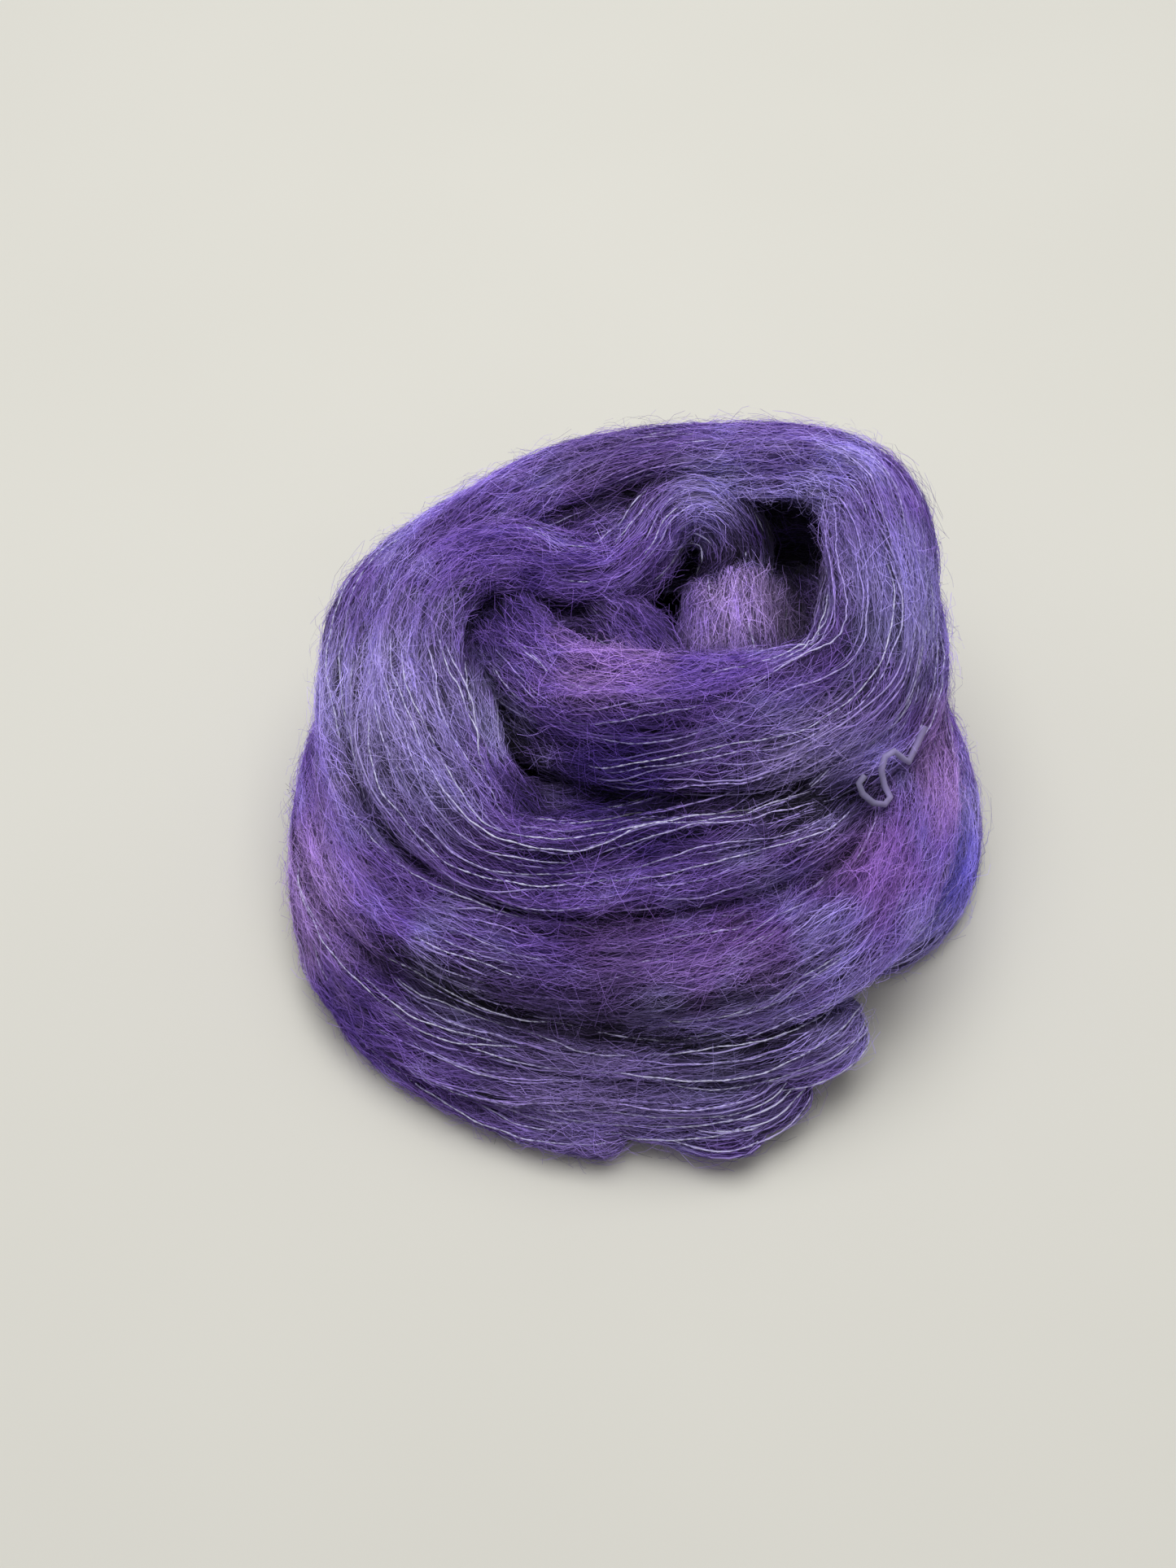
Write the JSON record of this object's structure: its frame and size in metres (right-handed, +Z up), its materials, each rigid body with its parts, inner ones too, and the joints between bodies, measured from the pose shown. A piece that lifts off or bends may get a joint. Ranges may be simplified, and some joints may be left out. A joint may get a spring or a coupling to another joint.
{
  "type": "mohair yarn hank",
  "caption": "Soft brushed mohair and silk yarn in one loose hank, coiled on itself into a low open nest, with a thin tie thread curling out of a crease.",
  "frame": {"origin": "on the flat face that the hank rests on, under the middle of the nest", "axes": "+Z up out of the nest's hollow; -Y towards the low front slope, where the wound bundles step down to the surface; +X to the right of someone who looks at that slope"},
  "size_m": [0.1359, 0.1321, 0.0695],
  "materials": {
    "mohair": "brushed, matte, with a fine halo of fibres",
    "tie_silk": "soft twisted thread"
  },
  "bodies": {
    "root": {"hank": "mohair", "tie_thread": "tie_silk"}
  },
  "joints": []
}
